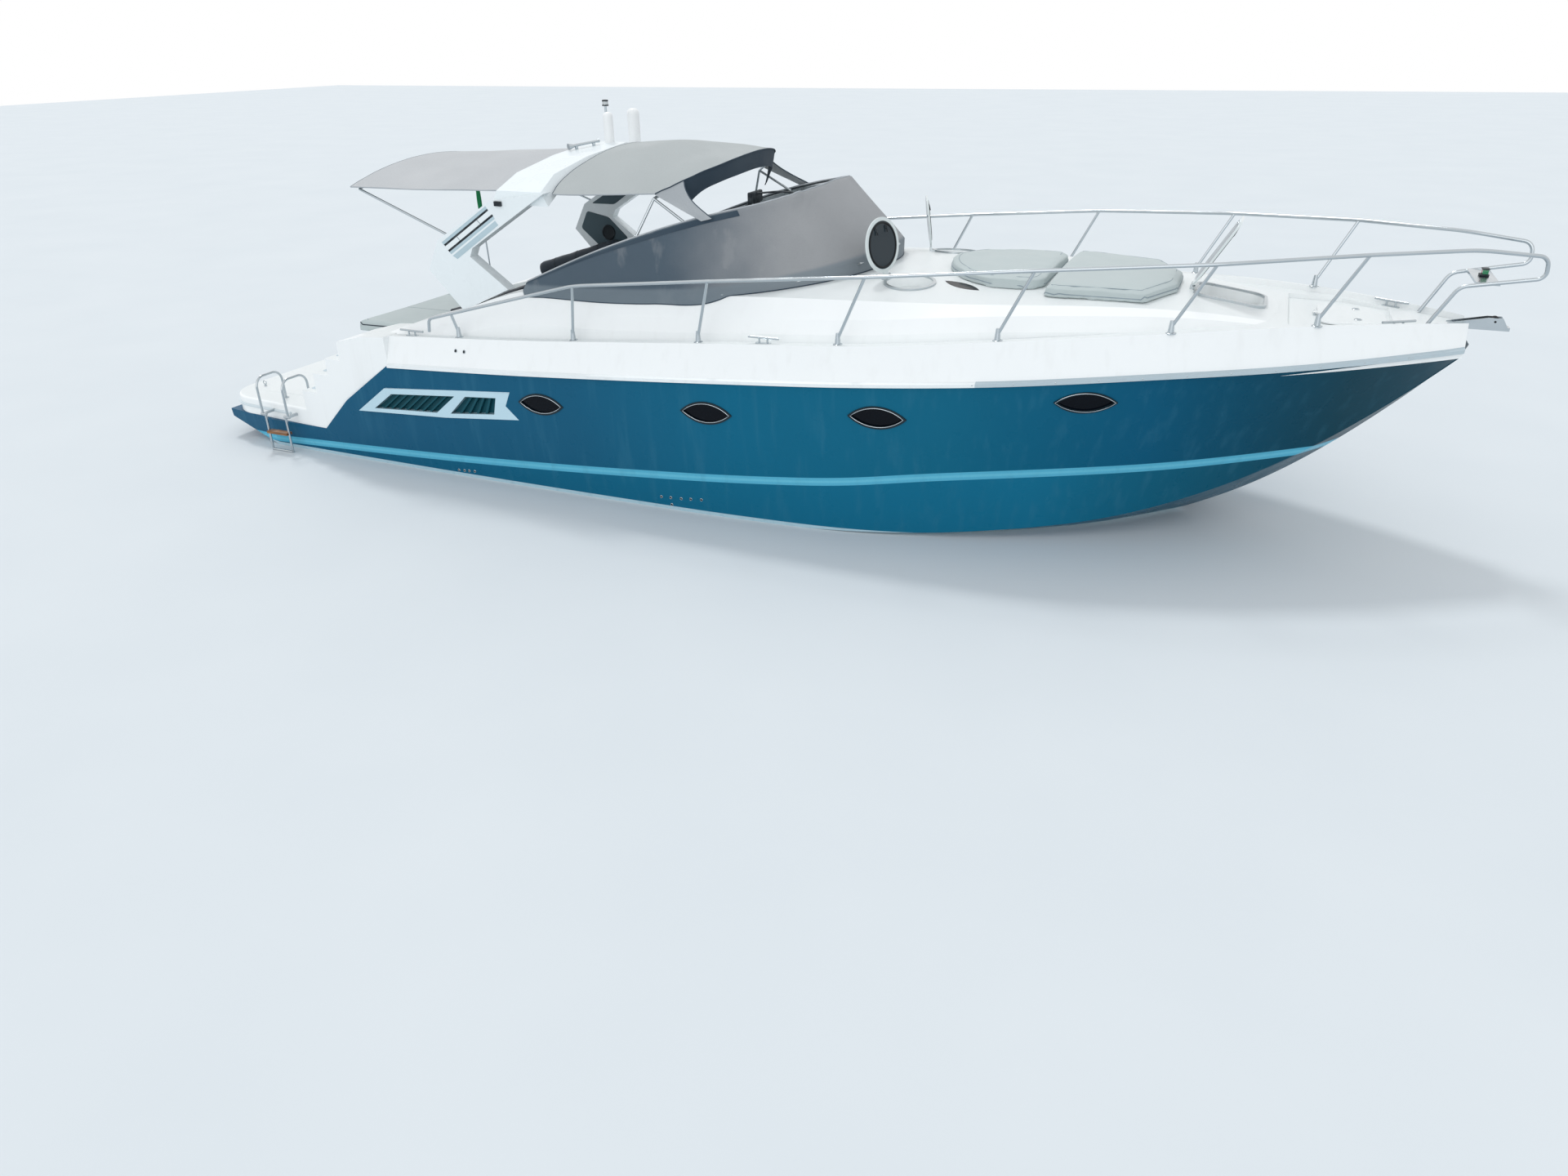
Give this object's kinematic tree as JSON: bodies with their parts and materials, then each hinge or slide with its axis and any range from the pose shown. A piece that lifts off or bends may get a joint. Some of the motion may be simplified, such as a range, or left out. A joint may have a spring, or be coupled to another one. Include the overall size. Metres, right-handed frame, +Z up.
{
  "type": "motor cruiser",
  "caption": "Open motor cruiser afloat, with radar arch, canvas canopies, covered windscreen, foredeck sunpads, guard rails, hatches, swim platform and ladder.",
  "frame": {"origin": "amidships on the centreline, at the waterline", "axes": "+X to the bow, +Y to port, +Z up"},
  "size_m": [12.3383, 3.7192, 4.4365],
  "materials": {
    "hull_gelcoat": "glossy gelcoat",
    "deck_gelcoat": "glossy gelcoat",
    "rub_rail_trim": "satin",
    "steel": "polished",
    "bronze": "dull",
    "stern_metal": "brushed",
    "tinted_glass": "tinted",
    "dark_pane": "glossy",
    "canvas": "woven",
    "mesh": "woven mesh",
    "pad_cloth": "soft",
    "cockpit_cloth": "soft",
    "arch_gelcoat": "glossy",
    "lid_acrylic": "tinted acrylic",
    "vent_plastic": "satin",
    "white_plastic": "glossy",
    "teak": "oiled",
    "engine_paint": "painted",
    "door_acrylic": "tinted acrylic",
    "wheel_grip": "leathery",
    "roller_rubber": "matte"
  },
  "bodies": {
    "boat": {"aft_canopy": "canvas", "arch": "arch_gelcoat", "bow_roller": "steel", "canopy_frame": "steel", "cleats": "steel", "cockpit_bases": "deck_gelcoat", "cockpit_cushions": "cockpit_cloth", "deck": "deck_gelcoat", "domes": "white_plastic", "engine_vents": "vent_plastic", "engines": "engine_paint", "fore_canopy": "canvas", "guard_rails": "steel", "hatch_ring_fore": "rub_rail_trim", "hatch_ring_port": "rub_rail_trim", "hatch_ring_starboard": "rub_rail_trim", "helm_console": "deck_gelcoat", "hull": "hull_gelcoat", "ladder_handles": "steel", "locker_hinges": "steel", "mast": "steel", "porthole_frames": "vent_plastic", "porthole_glass": "dark_pane", "pulpit_plate": "steel", "rub_rail": "rub_rail_trim", "screen_cover": "mesh", "shaft_brackets": "bronze", "skylights": "dark_pane", "stanchions": "steel", "stern_sunpad": "pad_cloth", "sunpad_aft": "pad_cloth", "sunpad_fore": "pad_cloth", "swim_platform": "deck_gelcoat", "tab_hinges": "stern_metal", "windscreen_frame": "steel", "windscreen_glass": "tinted_glass"},
    "hatch_lid_starboard": {"hatch_lid_starboard": "lid_acrylic"},
    "hatch_lid_port": {"hatch_lid_port": "lid_acrylic"},
    "hatch_lid_fore": {"hatch_lid_fore": "lid_acrylic"},
    "locker_lid": {"locker_lid": "deck_gelcoat"},
    "companion_door": {"companion_door": "door_acrylic"},
    "steering_wheel": {"steering_wheel": "wheel_grip"},
    "rudder_starboard": {"rudder_starboard": "stern_metal"},
    "rudder_port": {"rudder_port": "stern_metal"},
    "propeller_starboard": {"propeller_starboard": "bronze"},
    "propeller_port": {"propeller_port": "bronze"},
    "trim_tab_starboard": {"trim_tab_starboard": "stern_metal"},
    "trim_tab_port": {"trim_tab_port": "stern_metal"},
    "swim_ladder": {"swim_ladder": "steel", "ladder_tread": "teak"},
    "roller_wheel": {"roller_wheel": "roller_rubber"}
  },
  "joints": [
    {"name": "hatch_starboard_hinge", "type": "hinge", "parent": "boat", "child": "hatch_lid_starboard", "pos_m": [1.37888, -0.71423, 2.08406], "axis": [0.311, 0.9464, 0.0876], "range_deg": [0, 100]},
    {"name": "hatch_port_hinge", "type": "hinge", "parent": "boat", "child": "hatch_lid_port", "pos_m": [1.37888, 0.71423, 2.08406], "axis": [-0.311, 0.9464, -0.0876], "range_deg": [0, 100]},
    {"name": "hatch_fore_hinge", "type": "hinge", "parent": "boat", "child": "hatch_lid_fore", "pos_m": [3.8732, 0, 2.03979], "axis": [0, 1, 0], "range_deg": [0, 68]},
    {"name": "locker_hinge", "type": "hinge", "parent": "boat", "child": "locker_lid", "pos_m": [4.856, 0, 1.872], "axis": [0, -1, 0], "range_deg": [0, 95]},
    {"name": "companion_slide", "type": "slide", "parent": "boat", "child": "companion_door", "axis": [0, 1, 0], "range_m": [0, 0.5]},
    {"name": "steering", "type": "hinge", "parent": "boat", "child": "steering_wheel", "pos_m": [-1.12, -0.65, 1.5], "axis": [-0.9063, 0, 0.4226], "range_deg": [-540, 540]},
    {"name": "rudder_starboard_turn", "type": "hinge", "parent": "boat", "child": "rudder_starboard", "pos_m": [-5.02, -0.56, -0.6], "axis": [0, 0, 1], "range_deg": [-35, 35]},
    {"name": "rudder_port_turn", "type": "hinge", "parent": "boat", "child": "rudder_port", "pos_m": [-5.02, 0.56, -0.6], "axis": [0, 0, 1], "range_deg": [-35, 35]},
    {"name": "propeller_starboard_spin", "type": "hinge", "parent": "boat", "child": "propeller_starboard", "pos_m": [-4.62, -0.62, -0.76], "axis": [0.9848, 0, 0.1736], "continuous": true},
    {"name": "propeller_port_spin", "type": "hinge", "parent": "boat", "child": "propeller_port", "pos_m": [-4.62, 0.62, -0.76], "axis": [0.9848, 0, 0.1736], "continuous": true},
    {"name": "tab_starboard_hinge", "type": "hinge", "parent": "boat", "child": "trim_tab_starboard", "pos_m": [-5.265, -1.08, -0.18615], "axis": [0, -0.9549, 0.2969], "range_deg": [0, 12]},
    {"name": "tab_port_hinge", "type": "hinge", "parent": "boat", "child": "trim_tab_port", "pos_m": [-5.265, 1.08, -0.18615], "axis": [0, -0.9549, -0.2969], "range_deg": [0, 12]},
    {"name": "ladder_hinge", "type": "hinge", "parent": "boat", "child": "swim_ladder", "pos_m": [-5.04, -1.8, 0.4], "axis": [-1, 0, 0], "range_deg": [0, 165]},
    {"name": "roller_spin", "type": "hinge", "parent": "boat", "child": "roller_wheel", "pos_m": [6.14, 0, 1.905], "axis": [0, 1, 0], "continuous": true}
  ],
  "couplings": [
    {"joint": "rudder_starboard_turn", "follows": "steering", "ratio": -0.0648},
    {"joint": "rudder_port_turn", "follows": "steering", "ratio": -0.0648}
  ]
}
